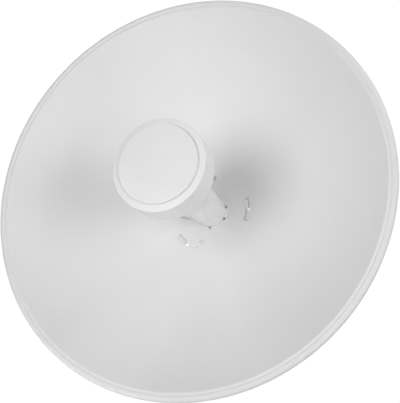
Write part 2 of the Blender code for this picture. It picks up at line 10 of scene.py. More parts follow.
import bmesh
import bpy
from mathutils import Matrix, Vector


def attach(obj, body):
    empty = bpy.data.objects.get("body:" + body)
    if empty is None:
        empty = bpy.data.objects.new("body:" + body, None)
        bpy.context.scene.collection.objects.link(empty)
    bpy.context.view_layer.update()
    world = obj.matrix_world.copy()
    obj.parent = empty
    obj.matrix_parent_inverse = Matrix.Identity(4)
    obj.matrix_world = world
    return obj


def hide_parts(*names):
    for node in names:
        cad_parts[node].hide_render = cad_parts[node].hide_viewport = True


# Reflector: one pressed sheet with a rolled rim
VERTEX_Y = -0.0880
SHEET = 0.0012
BOWL_RADIUS = 0.2000
BOWL_DEPTH = 0.0737
FOCUS = BOWL_RADIUS**2 / (4.0 * BOWL_DEPTH)
CREST_RADIUS = 0.0028
VALLEY_RADIUS = 0.0008
BEAD_RADIUS = 0.00414
CREST_END_DEG = -25.0
VALLEY_END_DEG = 32.0
BEAD_END_DEG = -270.0
RIM_FRONT_STEPS = (14, 6, 30)
RIM_BACK_STEPS = (14, 6, 24)
BOWL_RINGS = 56
BOWL_SIDES = 256
BOWL_FACE_MATCH = 0.97
HUB_HOLE_RADIUS = 0.0195

# Features cut around the hub
SLOT_MIDDLES_DEG = (93.0, 218.5, 335.5)
SLOT_SPAN_DEG = 34.5
SLOT_RADIUS = 0.0414
SLOT_WIDTH = 0.0048
SMALL_HOLE_PLACES = ((9.0, 0.0367), (197.0, 0.0338))
SMALL_HOLE_RADIUS = 0.0022
SIDE_SLIT_ENDS = ((-0.0326, -0.0032), (-0.0224, -0.0057))
SIDE_SLIT_WIDTH = 0.0012
SIDE_SLIT_CORNER = 0.3
CUT_FRONT_Y = VERTEX_Y - 0.012
CUT_BACK_Y = VERTEX_Y + 0.006
POCKET_FLOOR_Y = VERTEX_Y + 0.0013

# Feed: a round cap, a cup and cone behind it, and a neck
CAP_FACE_Y = VERTEX_Y - 0.1547
CAP_FACE_RADIUS = 0.0396
CAP_FACE_ROUND = 0.0006
CAP_ROUND_STEPS = 12
CAP_PLATE_THICKNESS = 0.0050
CAP_GROOVE_RADIUS = 0.0408
CAP_GROOVE_DEPTH = 0.0034
CAP_GROOVE_ROUND = 0.0002
CAP_RING_STEP = 0.0028
CAP_RING_SLOPE = 0.0008
CAP_RADIUS = 0.0465
CAP_EDGE_ROUND = 0.0009
CAP_THICKNESS = 0.0085
CUP_RADIUS = 0.0462
CUP_END_Y = CAP_FACE_Y + 0.0300
CUP_END_ROUND = 0.0080
CONE_END_Y = CAP_FACE_Y + 0.0898
CONE_END_RADIUS = 0.0193
CONE_END_ROUND = 0.0780
BELL_ROUND_STEPS = 16
NECK_RADIUS = 0.0164
COLLAR_PROUD = 0.0002
COLLAR_EDGE = 0.0002
COLLAR_NOTCHES_DEG = (79.0, 121.5, 183.0, 300.0)
COLLAR_NOTCH_WIDTH = 0.0024
COLLAR_NOTCH_REACH = 0.0019
NOTCH_HOLLOW_REACH = 0.0090
NOTCH_HOLLOW_DEPTH = 0.0022
COLLAR_LIP_ENDS_DEG = (83.5, 117.0)
COLLAR_LIP_RADIUS = 0.0180
COLLAR_LIP_EDGE = 0.0013
COLLAR_LIP_PROUD = 0.0016

# Bayonet ring, moulded with its hooks, behind the sheet
RING_RADIUS = 0.0480
RING_BORE = 0.0210
RING_ROWS = 12
RING_THICKNESS = 0.0024
RING_CLEARANCE = SHEET + 0.0004
HOOK_GAP_DEG = 1.5
HOOK_PROUD = 0.0018
HOOK_OVERLAP = 0.0014
HOOK_DROP = 0.0006
HOOK_INSET = 0.0014
GROOVE_DEPTH = 0.0003
GROOVE_OVERLAP = 0.0001
GROOVE_END_DEG = 0.2
HOOK_EDGE = 0.0003
TONGUE_INSET = 0.0017
TONGUE_DROP = 0.0005
SLOT_END_ROOM_DEG = 0.6
WINDOW_HALF_DEG = HOOK_GAP_DEG + 2.3
WINDOW_INSET = 0.0010
WINDOW_OUTER_ROOM = 0.0016
WINDOW_FRONT_ROOM = 0.0020
WINDOW_BACK_ROOM = 0.0080

# Rear housing, its cover and what shows on them
HOUSING_FRONT_RADIUS = 0.0290
HOUSING_BACK_RADIUS = 0.0235
HOUSING_BACK_Y = -0.0500
HOUSING_FRONT_ROUND = 0.0012
HOUSING_BACK_ROUND = 0.0005
COVER_THICKNESS = 0.0040
COVER_OVERHANG = 0.0004
COVER_FRONT_ROUND = 0.0004
COVER_BACK_ROUND = 0.0012
COVER_SCREWS_DEG = (60.0, 180.0, 300.0)
COVER_SCREW_PLACE = 0.0214
COVER_SCREW_RADIUS = 0.0019
COVER_SCREW_HEIGHT = 0.0014
STRIP_STEP_DEG = 2.0
RELEASE_Y = -0.0720
RELEASE_HALF_DEG = 16.0
RELEASE_HALF_LENGTH = 0.0065
RELEASE_HEIGHT = 0.0020
RIDGE_GROOVES = (-0.0036, -0.0012, 0.0012, 0.0036)
RIDGE_GROOVE_HALF_DEG = 11.0
RIDGE_GROOVE_FLOOR = 0.0013
RIDGE_GROOVE_HEIGHT = 0.0014
RIDGE_GROOVE_HALF = 0.0008
LENS_Y = -0.0590
LENS_HALF_DEG = 13.0
LENS_HALF_LENGTH = 0.0015
LENS_HEIGHT = 0.0009
GROUND_SCREW_Y = -0.0680
GROUND_SCREW_RADIUS = 0.0036
GROUND_SCREW_HEIGHT = 0.0028
GROUND_SLOT_FLOOR = 0.0018
GROUND_SLOT_TOP = 0.0040
GROUND_SLOT_REACH = 0.0060
GROUND_SLOT_HALF = 0.0004
PORT_Y = -0.0690
PORT_DEPTH_Z = -0.0120
PORT_HALF_X = 0.0090
PORT_HALF_Y = 0.0075
PORT_OPEN_Z = -0.0400
SOCKET_ROOM = 0.0004
SOCKET_WALL = 0.0022
SOCKET_FLOOR = 0.0030
SOCKET_MOUTH_Z = -0.0235
CONTACT_COUNT = 8
CONTACT_PITCH = 0.00102
CONTACT_HALF_WIDTH = 0.0002
CONTACT_THICKNESS = 0.0006
CONTACT_STANDOFF = 0.0003
CONTACT_SETBACK = 0.0040
CONTACT_END_GAP = 0.0002

# A pan head's outline as shares of its radius and height, and its cross recess as shares of the same
PAN_HEAD_ROWS = ((1.0, 0.0), (1.0, 0.45), (0.93, 0.75), (0.72, 0.95), (0.30, 1.0))
CROSS_REACH = 0.60
CROSS_HALF_WIDTH = 0.14
CROSS_FLOOR = 0.40

# Ball joint
BALL_Y = -0.0335
BALL_RADIUS = 0.0120
BALL_CLEARANCE = 0.0004
BALL_ROWS = 36
SOCKET_RADIUS = 0.0190
SOCKET_LENGTH = 0.0130
SOCKET_EDGE = 0.0004
STEM_RADIUS = 0.0070

# Lock nut; an edge row is an inset from the radius, a depth from the end and a share of the ribs
NUT_RADIUS = 0.0232
NUT_COVER = 0.0030
NUT_OVERHANG = 0.0070
NUT_RIBS = 16
NUT_RIB_SIDES = 16
NUT_RIB_DEPTH = 0.0012
NUT_RIB_TURN = 0.15
NUT_RIB_CRISPNESS = 4.0
NUT_FRONT_EDGE = ((0.0009, 0.0, 0.6), (0.0003, 0.0003, 0.9), (0.0, 0.0009, 1.0))
NUT_BACK_EDGE = ((0.0, 0.0016, 1.0), (0.0005, 0.0007, 0.9), (0.0014, 0.0001, 0.5), (0.0024, 0.0, 0.0))
NUT_SEAT_ROWS = 12

# Pole bracket, for a pole 50 mm across
POLE_RADIUS = 0.0250
SADDLE_HALF_WIDTH = 0.0220
SADDLE_HALF_HEIGHT = 0.0220
SADDLE_THICKNESS = 0.0120
SADDLE_CORNER = 0.0025
JAW_INNER_X = 0.0140
JAW_HEIGHT = POLE_RADIUS - math.sqrt(POLE_RADIUS**2 - JAW_INNER_X**2)
JAW_EDGE = 0.0006
TOOTH_COUNT = 7
TOOTH_DEPTH = 0.0018
TOOTH_NOTCH_SHARE = 0.62
BOSS_RADIUS = 0.0115
BOSS_LENGTH = 0.0045
BOSS_SIDES = 64

# Band clamp round the pole
BAND_THICKNESS = 0.0008
BAND_HALF_WIDTH = 0.00635
BAND_RUN_Y = -0.0062
BAND_CORNER = 0.0030
BAND_EDGE = 0.0002
BAND_ARC_STEPS = 96
BAND_CORNER_STEPS = 8
BAND_SLOT_CLEARANCE = 0.0006
BAND_SLOT_REACH = 0.0300
SCREW_HOUSING_Y = 0.0130
SCREW_HOUSING_HALF = 0.0080
SCREW_HOUSING_OVERHANG = 0.0010
SCREW_HOUSING_FOOT = 0.0024
SCREW_HOUSING_FOOT_ROUND = 0.0010
SCREW_HOUSING_HEIGHT = 0.0085
SCREW_HOUSING_TAPER = 0.0030
SCREW_HOUSING_EDGE = 0.0004
WORM_HEIGHT = 0.0045
WORM_HEAD_RADIUS = 0.0040
WORM_HEAD_LENGTH = 0.0055
WORM_SLOT_FLOOR = 0.0040
WORM_SLOT_TOP = 0.0070
WORM_SLOT_REACH = 0.0060
WORM_SLOT_HALF = 0.0005

# The gap that seated pieces keep, and the closer fit where the photograph shows a joint
GAP = 0.0003
FIT = 0.00005

# How far a cutter or a fused shape reaches past the surface that it works on
CUT_ROOM = 0.0010

# Fineness of round shapes, and the softened edges
TURN = 2.0 * math.pi
LATHE_SIDES = 128
ROUND_SIDES = 32
ROUND_STEPS = 6
SHARP_DEG = 35.0
FINE_EDGE = 0.0002
MOULDED_EDGE = 0.0003

# The photograph's camera, placed around the rim's centre
RIM_CENTRE = Vector((0.0, -0.1598, 0.0))
CAMERA_AZIMUTH = 19.33
CAMERA_ELEVATION = -18.69
CAMERA_DISTANCE = 1.10
AIM_RIGHT = 0.01230
AIM_UP = -0.01064
LENS_MM = 98.65
CLIP_NEAR = 0.01
CLIP_FAR = 50.0

# Studio: azimuth, elevation, distance, width, height and watts of each soft light
SOFTBOXES = {
    "key_left": (-11.5, -7.0, 1.20, 0.60, 0.50, 0.955),
    "key_right": (53.5, -10.0, 1.20, 0.60, 0.38, 0.427),
    "front_right": (50.0, 0.0, 1.20, 0.20, 0.20, 0.104),
    "low_front_left": (-22.0, -22.0, 1.20, 0.20, 0.20, 0.040),
    "low_front_right": (43.0, -22.0, 1.20, 0.20, 0.20, 0.099),
    "low_left": (-75.0, -45.0, 0.64, 0.30, 0.30, 0.106),
    "low_right": (60.0, -45.0, 0.64, 0.20, 0.20, 0.043),
    "below": (-50.0, -65.0, 0.50, 0.20, 0.20, 0.028),
    "side_left": (-60.0, -20.0, 1.20, 0.30, 0.30, 0.061),
    "side_right": (90.0, 40.0, 1.00, 0.30, 0.30, 0.167),
    "top": (10.0, 75.0, 1.20, 0.30, 0.30, 0.144),
    "top_left": (-45.0, 45.0, 1.20, 0.30, 0.30, 0.082),
    "top_right": (60.0, 50.0, 1.20, 0.14, 0.14, 0.091),
    "high_right": (70.0, 30.0, 1.20, 0.30, 0.30, 0.104),
}
AMBIENT = 0.190
AMBIENT_BEHIND = 0.990
LIGHT_SPREAD_DEG = 70.0
BACKDROP = 1.05
WHITE = (1.0, 1.0, 1.0, 1.0)
FLOOR_Z = -0.52
FLOOR_HALF = 8.0
TINT_RANGE = (0.30, 0.70)

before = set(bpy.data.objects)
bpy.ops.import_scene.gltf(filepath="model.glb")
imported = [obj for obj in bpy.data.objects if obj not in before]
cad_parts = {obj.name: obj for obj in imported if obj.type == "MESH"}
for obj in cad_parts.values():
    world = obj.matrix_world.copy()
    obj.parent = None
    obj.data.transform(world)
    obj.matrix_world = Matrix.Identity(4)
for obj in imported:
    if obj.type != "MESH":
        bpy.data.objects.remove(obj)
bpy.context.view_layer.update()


def around(angle_deg, radius, y):
    """The point at an angle clockwise from the top, seen from the front."""
    angle = math.radians(angle_deg)
    return (radius * math.sin(angle), y, radius * math.cos(angle))


def filleted(corners, steps=ROUND_STEPS, closed=False):
    """Round each (a, b, radius) corner of an outline with an arc."""
    points = []
    last = len(corners) - 1
    for i, (a, b, radius) in enumerate(corners):
        here = Vector((a, b))
        if not radius or (not closed and i in (0, last)):
            points.append((a, b))
            continue
        before = (Vector(corners[i - 1][:2]) - here).normalized()
        after = (Vector(corners[(i + 1) % len(corners)][:2]) - here).normalized()
        half = before.angle(after) / 2.0
        centre = here + (before + after).normalized() * (radius / math.sin(half))
        start = here + before * (radius / math.tan(half)) - centre
        end = here + after * (radius / math.tan(half)) - centre
        bend = start.angle(end)
        for k in range(steps + 1):
            share = k / steps
            near = start * math.sin((1.0 - share) * bend)
            far = end * math.sin(share * bend)
            points.append(tuple(centre + (near + far) / math.sin(bend)))
    return points


def lathe(profile, sides=LATHE_SIDES, ring=False):
    """Spin (radius, y) points about the dish's axis; a ring's profile is a closed loop."""
    verts, faces, rows = [], [], []
    for radius, y in profile:
        if radius < GAP / 10.0:
            rows.append([len(verts)] * sides)
            verts.append((0.0, y, 0.0))
        else:
            rows.append(list(range(len(verts), len(verts) + sides)))
            verts += [around(360.0 * i / sides, radius, y) for i in range(sides)]
    pairs = list(zip(rows, rows[1:]))
    if ring:
        pairs.append((rows[-1], rows[0]))
    for row, following in pairs:
        for i in range(sides):
            j = (i + 1) % sides
            face = list(dict.fromkeys((row[i], row[j], following[j], following[i])))
            if len(face) > 2:
                faces.append(face)
    return verts, faces


def skin(loops, closed=False):
    """Join matching closed loops of points in turn; the two ends are capped unless it closes."""
    count = len(loops[0])
    verts = [point for loop in loops for point in loop]
    faces = []
    for k in range(len(loops) if closed else len(loops) - 1):
        base, following = k * count, (k + 1) % len(loops) * count
        for i in range(count):
            j = (i + 1) % count
            faces.append((base + i, base + j, following + j, following + i))
    if not closed:
        faces.append(tuple(range(count)))
        faces.append(tuple(range(len(verts) - count, len(verts))))
    return verts, faces


def swept(start_deg, end_deg, section, step_deg=1.0):
    """Sweep a closed (radius, y) section around the dish's axis, from one angle to another."""
    pieces = max(2, round(abs(end_deg - start_deg) / step_deg))
    loops = []
    for i in range(pieces + 1):
        angle = start_deg + (end_deg - start_deg) * i / pieces
        loops.append([around(angle, radius, y) for radius, y in section])
    return skin(loops)


def swept_block(start_deg, end_deg, radii, depths):
    """A block bent around the dish's axis."""
    (inner, outer), (front, back) = radii, depths
    section = [(inner, front), (outer, front), (outer, back), (inner, back)]
    return swept(start_deg, end_deg, section)


def extruded(outline, low, high, axis="Z"):
    """Push a flat outline along an axis; the outline holds the other two axes in X, Y, Z order."""
    place = {
        "X": lambda a, b, level: (level, a, b),
        "Y": lambda a, b, level: (a, level, b),
        "Z": lambda a, b, level: (a, b, level),
    }[axis]
    return skin([[place(a, b, level) for a, b in outline] for level in (low, high)])


def block(low, high):
    """A box from its lowest to its highest corner."""
    outline = [(low[0], low[1]), (high[0], low[1]), (high[0], high[1]), (low[0], high[1])]
    return extruded(outline, low[2], high[2])


def disc(middle, radius, sides, first_deg=0.0):
    """A regular outline about a middle point."""
    points = []
    for i in range(sides):
        angle = TURN * i / sides + math.radians(first_deg)
        across = radius * math.cos(angle)
        along = radius * math.sin(angle)
        points.append((middle[0] + across, middle[1] + along))
    return points


def merged(shapes):
    """Several closed shapes as one."""
    verts, faces = [], []
    for more_verts, more_faces in shapes:
        start = len(verts)
        verts += more_verts
        faces += [tuple(i + start for i in face) for face in more_faces]
    return verts, faces


def mesh_object(name, shape):
    """A smooth-shaded object from (points, faces), with its faces turned outwards."""
    mesh = bpy.data.meshes.new(name)
    mesh.from_pydata(shape[0], [], shape[1])
    bm = bmesh.new()
    bm.from_mesh(mesh)
    bmesh.ops.recalc_face_normals(bm, faces=bm.faces)
    bm.to_mesh(mesh)
    bm.free()
    mesh.shade_smooth()
    mesh.set_sharp_from_angle(angle=math.radians(SHARP_DEG))
    made = bpy.data.objects.new(name, mesh)
    bpy.context.scene.collection.objects.link(made)
    return made


def baked(piece):
    """Apply the piece's modifiers."""
    bpy.context.view_layer.update()
    done = piece.evaluated_get(bpy.context.evaluated_depsgraph_get())
    mesh = bpy.data.meshes.new_from_object(done)
    piece.modifiers.clear()
    spent = piece.data
    piece.data = mesh
    bpy.data.meshes.remove(spent)
    return piece


def carve(piece, shape, operation="DIFFERENCE"):
    """Cut a shape out of the piece, or fuse it on."""
    helper = mesh_object(f"{piece.name}_helper", shape)
    step = piece.modifiers.new("carve", "BOOLEAN")
    step.operation = operation
    step.solver = "EXACT"
    step.object = helper
    baked(piece)
    bpy.data.objects.remove(helper)
    piece.data.set_sharp_from_angle(angle=math.radians(SHARP_DEG))
    return piece


def soften(piece, width, segments=3):
    """Round the piece's sharp edges a little, as a mould or a press leaves them."""
    step = piece.modifiers.new("soften", "BEVEL")
    step.width = width
    step.segments = segments
    step.limit_method = "ANGLE"
    step.angle_limit = math.radians(SHARP_DEG)
    step.harden_normals = True
    return piece


def seat(piece, finish, slot, *nodes):
    """Give the piece its finish, put it on the one body and let it stand for its CAD nodes."""
    piece.data.materials.clear()
    piece.data.materials.append(finish)
    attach(piece, "root")
    if nodes:
        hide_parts(*nodes)
    return piece


def bowl_y(radius):
    """Where the bowl's front surface is at a radius from the axis."""
    return VERTEX_Y - radius**2 / (4.0 * FOCUS)


def behind_sheet(radius, distance):
    """A point square behind the bowl's front surface."""
    slope = radius / (2.0 * FOCUS)
    length = math.hypot(1.0, slope)
    return (radius + distance * slope / length, bowl_y(radius) + distance / length)


def rim_arcs(offset, counts):
    """The rim's crest, valley and rolled bead as arcs, offset behind the front surface.

    The heading is the way the sheet runs: 0 outwards from the axis, 90 degrees forwards.
    """
    start = math.degrees(math.atan(BOWL_RADIUS / (2.0 * FOCUS)))
    arcs = (
        (start, CREST_END_DEG, -CREST_RADIUS),
        (CREST_END_DEG, VALLEY_END_DEG, VALLEY_RADIUS),
        (VALLEY_END_DEG, BEAD_END_DEG, -BEAD_RADIUS),
    )
    radius, y = BOWL_RADIUS, bowl_y(BOWL_RADIUS)
    points = []
    for (first, last, bend), count in zip(arcs, counts):
        begin, end = math.radians(first), math.radians(last)
        centre_radius = radius - bend * math.sin(begin)
        centre_y = y - bend * math.cos(begin)
        reach = bend + offset
        for i in range(1, count + 1):
            heading = math.radians(first + (last - first) * i / count)
            point_y = centre_y + reach * math.cos(heading)
            points.append((centre_radius + reach * math.sin(heading), point_y))
        radius = centre_radius + bend * math.sin(end)
        y = centre_y + bend * math.cos(end)
    return points


def slit_cutter(depths):
    """A cutter for the short slit beside the hub."""
    (x0, z0), (x1, z1) = SIDE_SLIT_ENDS
    length = math.hypot(x1 - x0, z1 - z0)
    side_x = -(z1 - z0) / length * SIDE_SLIT_WIDTH / 2.0
    side_z = (x1 - x0) / length * SIDE_SLIT_WIDTH / 2.0
    corner = SIDE_SLIT_WIDTH * SIDE_SLIT_CORNER
    slit = [
        (x0 + side_x, z0 + side_z, corner),
        (x0 - side_x, z0 - side_z, corner),
        (x1 - side_x, z1 - side_z, corner),
        (x1 + side_x, z1 + side_z, corner),
    ]
    return extruded(filleted(slit, closed=True), *depths, axis="Y")


def small_hole_cutters(depths):
    """Cutters for the two small round holes."""
    shapes = []
    for angle, radius in SMALL_HOLE_PLACES:
        x, _, z = around(angle, radius, 0.0)
        shapes.append(extruded(disc((x, z), SMALL_HOLE_RADIUS, ROUND_SIDES), *depths, axis="Y"))
    return shapes


def hub_cutters():
    """The three bayonet slots, the two small holes and the short slit."""
    depths = (CUT_FRONT_Y, CUT_BACK_Y)
    half = SLOT_SPAN_DEG / 2.0
    radii = (SLOT_RADIUS - SLOT_WIDTH / 2.0, SLOT_RADIUS + SLOT_WIDTH / 2.0)
    shapes = []
    for middle in SLOT_MIDDLES_DEG:
        shapes.append(swept_block(middle - half, middle + half, radii, depths))
    return merged(shapes + small_hole_cutters(depths) + [slit_cutter(depths)])


def true_normals(dish):
    """Shade the bowl by its exact paraboloid, so that the cut edges leave no marks on it."""
    mesh = dish.data
    normals = [Vector(corner.vector) for corner in mesh.corner_normals]
    for face in mesh.polygons:
        for corner in face.loop_indices:
            x, _, z = mesh.vertices[mesh.loops[corner].vertex_index].co
            if math.hypot(x, z) > BOWL_RADIUS:
                continue
            slope = Vector((x / (2.0 * FOCUS), 1.0, z / (2.0 * FOCUS))).normalized()
            along = slope.dot(face.normal)
            if abs(along) > BOWL_FACE_MATCH:
                normals[corner] = slope * math.copysign(1.0, along)
    mesh.normals_split_custom_set(normals)


def build_dish(paint):
    """The sheet with its bowl, its rolled rim and the openings round the hub."""
    width = BOWL_RADIUS - HUB_HOLE_RADIUS
    radii = [HUB_HOLE_RADIUS + width * i / BOWL_RINGS for i in range(BOWL_RINGS + 1)]
    front = [(radius, bowl_y(radius)) for radius in radii] + rim_arcs(0.0, RIM_FRONT_STEPS)
    back = [behind_sheet(radius, SHEET) for radius in radii] + rim_arcs(SHEET, RIM_BACK_STEPS)
    dish = mesh_object("dish_sheet", lathe(front + back[::-1], BOWL_SIDES, ring=True))
    carve(dish, hub_cutters())
    true_normals(dish)
    seat(dish, paint, "white_paint", "dish_reflector")


def build_cap(plastic):
    """A flat raised plate, a groove round it and a sloping ring."""
    plate_back = CAP_FACE_Y + CAP_PLATE_THICKNESS
    plate = filleted(
        [
            (0.0, CAP_FACE_Y, 0.0),
            (CAP_FACE_RADIUS, CAP_FACE_Y, CAP_FACE_ROUND),
            (CAP_FACE_RADIUS, plate_back, 0.0),
            (0.0, plate_back, 0.0),
        ]
    )
    seat(mesh_object("cap_face", lathe(plate)), plastic, "white_plastic", "feed_cap_plate")
    bore = CAP_FACE_RADIUS + FIT
    behind = plate_back + GAP
    floor = CAP_FACE_Y + CAP_GROOVE_DEPTH
    inner_edge = CAP_FACE_Y + CAP_RING_STEP
    back = CAP_FACE_Y + CAP_THICKNESS
    ring = filleted(
        [
            (0.0, behind, 0.0),
            (bore, behind, 0.0),
            (bore, floor, 0.0),
            (CAP_GROOVE_RADIUS, floor, CAP_GROOVE_ROUND),
            (CAP_GROOVE_RADIUS, inner_edge, CAP_GROOVE_ROUND),
            (CAP_RADIUS, inner_edge + CAP_RING_SLOPE, CAP_EDGE_ROUND),
            (CAP_RADIUS, back, 0.0),
            (0.0, back, 0.0),
        ],
        steps=CAP_ROUND_STEPS,
    )
    seat(mesh_object("cap_ring", lathe(ring)), plastic, "white_plastic", "feed_cap_ring")


def notch_cutters(radii, depths):
    """Cutters at the collar's notches."""
    half = math.degrees(COLLAR_NOTCH_WIDTH / 2.0 / NECK_RADIUS)
    shapes = []
    for angle in COLLAR_NOTCHES_DEG:
        shapes.append(swept_block(angle - half, angle + half, radii, depths))
    return merged(shapes)


def build_bell(plastic):
    """The cup behind the cap, the cone that narrows it and the neck, hollow behind the notches."""
    top = CAP_FACE_Y + CAP_THICKNESS + GAP
    tail = VERTEX_Y + RING_THICKNESS
    wall = filleted(
        [
            (CUP_RADIUS, top, 0.0),
            (CUP_RADIUS, CUP_END_Y, CUP_END_ROUND),
            (CONE_END_RADIUS, CONE_END_Y, CONE_END_ROUND),
            (NECK_RADIUS, VERTEX_Y, 0.0),
        ],
        steps=BELL_ROUND_STEPS,
    )
    profile = [(0.0, top), *wall, (NECK_RADIUS, tail), (0.0, tail)]
    bell = mesh_object("feed_bell", lathe(profile))
    radii = (NECK_RADIUS - NOTCH_HOLLOW_REACH, NECK_RADIUS + CUT_ROOM)
    depths = (bowl_y(NECK_RADIUS), VERTEX_Y + NOTCH_HOLLOW_DEPTH)
    carve(bell, notch_cutters(radii, depths))
    seat(bell, plastic, "white_plastic", "feed_housing")


def build_collar(plastic):
    """The ring round the neck in the hub hole, flush with the bowl, with its notches and lip."""
    inner = NECK_RADIUS + FIT
    outer = HUB_HOLE_RADIUS - FIT
    front = bowl_y(inner) - COLLAR_PROUD
    back = VERTEX_Y + RING_THICKNESS
    profile = filleted(
        [
            (inner, front, COLLAR_EDGE),
            (outer, bowl_y(outer), 0.0),
            (outer, back, 0.0),
            (inner, back, 0.0),
        ],
        closed=True,
    )
    collar = mesh_object("hub_collar", lathe(profile, ring=True))
    radii = (inner - CUT_ROOM, inner + COLLAR_NOTCH_REACH)
    carve(collar, notch_cutters(radii, (front - CUT_ROOM, back + CUT_ROOM)))
    inside = inner + FIT
    lip = filleted(
        [
            (inside, front - COLLAR_LIP_PROUD, 0.0),
            (COLLAR_LIP_RADIUS, front - COLLAR_LIP_PROUD, COLLAR_LIP_EDGE),
            (COLLAR_LIP_RADIUS, front + COLLAR_LIP_PROUD, 0.0),
            (inside, front + COLLAR_LIP_PROUD, 0.0),
        ],
        closed=True,
    )
    carve(collar, swept(*COLLAR_LIP_ENDS_DEG, lip), "UNION")
    seat(collar, plastic, "white_plastic", "feed_collar")


def build_bayonet(plastic):
    """The ring behind the sheet, with the hooks and tongues that show in the slots.

    It has a window in the middle of each slot, a groove along each hook, and a pocket behind
    the upper small hole and the slit.
    """
    width = RING_RADIUS - RING_BORE
    radii = [RING_BORE + width * i / RING_ROWS for i in range(RING_ROWS + 1)]
    front = [(radius, bowl_y(radius) + RING_CLEARANCE) for radius in radii]
    back = [(radius, bowl_y(radius) + RING_CLEARANCE + RING_THICKNESS) for radius in radii]
    ring = mesh_object("bayonet_plate", lathe(front + back[::-1], ring=True))
    inner = SLOT_RADIUS - SLOT_WIDTH / 2.0
    outer = SLOT_RADIUS + SLOT_WIDTH / 2.0
    half = SLOT_SPAN_DEG / 2.0
    sheet_front = bowl_y(SLOT_RADIUS)
    ring_inside = sheet_front + RING_CLEARANCE + RING_THICKNESS / 2.0
    foot_back = bowl_y(outer + HOOK_OVERLAP) - GAP
    hook_front = sheet_front - HOOK_PROUD
    hook = filleted(
        [
            (inner + HOOK_INSET, sheet_front + HOOK_DROP, 0.0),
            (outer + HOOK_OVERLAP, hook_front, HOOK_EDGE),
            (outer + HOOK_OVERLAP, foot_back, 0.0),
            (outer - GAP, foot_back, 0.0),
            (outer - GAP, ring_inside, 0.0),
            (inner + HOOK_INSET, ring_inside, 0.0),
        ],
        closed=True,
    )
    window_radii = (inner + WINDOW_INSET, outer + WINDOW_OUTER_ROOM)
    window_depths = (sheet_front - WINDOW_FRONT_ROOM, sheet_front + WINDOW_BACK_ROOM)
    groove_radii = (inner, inner + HOOK_INSET + GROOVE_OVERLAP)
    groove_depths = (sheet_front, sheet_front + RING_CLEARANCE + GROOVE_DEPTH)
    tongue_radii = (inner + FIT, outer - TONGUE_INSET)
    tongue_depths = (ring_inside, sheet_front + TONGUE_DROP)
    windows, grooves, added = [], [], []
    for middle in SLOT_MIDDLES_DEG:
        start, end = middle - WINDOW_HALF_DEG, middle + WINDOW_HALF_DEG
        windows.append(swept_block(start, end, window_radii, window_depths))
        hook_ends = (middle + HOOK_GAP_DEG, middle + half - SLOT_END_ROOM_DEG)
        groove_ends = (hook_ends[0] + GROOVE_END_DEG, hook_ends[1] - GROOVE_END_DEG)
        grooves.append(swept_block(*groove_ends, groove_radii, groove_depths))
        added.append(swept(*hook_ends, hook))
        tongue_ends = (middle - half + SLOT_END_ROOM_DEG, middle - HOOK_GAP_DEG)
        added.append(swept_block(*tongue_ends, tongue_radii, tongue_depths))
    carve(ring, merged(windows))
    carve(ring, merged(grooves))
    pocket = (CUT_FRONT_Y, POCKET_FLOOR_Y)
    upper_hole, _ = small_hole_cutters(pocket)
    carve(ring, merged([upper_hole, slit_cutter(pocket)]))
    carve(ring, merged(added), "UNION")
    seat(ring, plastic, "white_plastic", "bayonet_ring")


# Where the housing starts, a gap behind the bayonet ring
HOUSING_FRONT_Y = bowl_y(RING_BORE) + RING_CLEARANCE + RING_THICKNESS + GAP


def housing_radius(y):
    """The tapered housing's radius at a place along the axis."""
    share = (y - HOUSING_FRONT_Y) / (HOUSING_BACK_Y - HOUSING_FRONT_Y)
    return HOUSING_FRONT_RADIUS + (HOUSING_BACK_RADIUS - HOUSING_FRONT_RADIUS) * share


def build_rear_housing(plastic):
    """The tapered housing behind the dish, with the recess for the network socket below."""
    profile = filleted(
        [
            (0.0, HOUSING_FRONT_Y, 0.0),
            (HOUSING_FRONT_RADIUS, HOUSING_FRONT_Y, HOUSING_FRONT_ROUND),
            (HOUSING_BACK_RADIUS, HOUSING_BACK_Y, HOUSING_BACK_ROUND),
            (0.0, HOUSING_BACK_Y, 0.0),
        ]
    )
    housing = mesh_object("rear_shell", lathe(profile))
    low = (-PORT_HALF_X, PORT_Y - PORT_HALF_Y, PORT_OPEN_Z)
    high = (PORT_HALF_X, PORT_Y + PORT_HALF_Y, PORT_DEPTH_Z)
    carve(housing, block(low, high))
    seat(housing, plastic, "white_plastic", "rear_housing")


def screw_head(name, place, radius, height):
    """A pan head with a cross recess, standing on a face that looks backwards."""
    x, y, z = place
    rows = []
    for share, level in PAN_HEAD_ROWS:
        outline = disc((x, z), radius * share, ROUND_SIDES)
        rows.append([(a, y + height * level, b) for a, b in outline])
    head = mesh_object(name, skin(rows))
    arm, half = radius * CROSS_REACH, radius * CROSS_HALF_WIDTH
    floor, top = y + height * CROSS_FLOOR, y + height * 2.0
    for reach_x, reach_z in ((arm, half), (half, arm)):
        carve(head, block((x - reach_x, floor, z - reach_z), (x + reach_x, top, z + reach_z)))
    return head


def build_cover(plastic, steel):
    """The cover on the housing's back and its three screws."""
    radius = HOUSING_BACK_RADIUS + COVER_OVERHANG
    front = HOUSING_BACK_Y + GAP
    back = front + COVER_THICKNESS
    profile = filleted(
        [
            (0.0, front, 0.0),
            (radius, front, COVER_FRONT_ROUND),
            (radius, back, COVER_BACK_ROUND),
            (0.0, back, 0.0),
        ]
    )
    seat(mesh_object("rear_cover", lathe(profile)), plastic, "white_plastic", "housing_cover")
    for number, angle in enumerate(COVER_SCREWS_DEG, 1):
        place = around(angle, COVER_SCREW_PLACE, back + GAP)
        name = f"cover_screw_head_{number}"
        head = screw_head(name, place, COVER_SCREW_RADIUS, COVER_SCREW_HEIGHT)
        seat(head, steel, "steel", f"cover_screw_{number}")


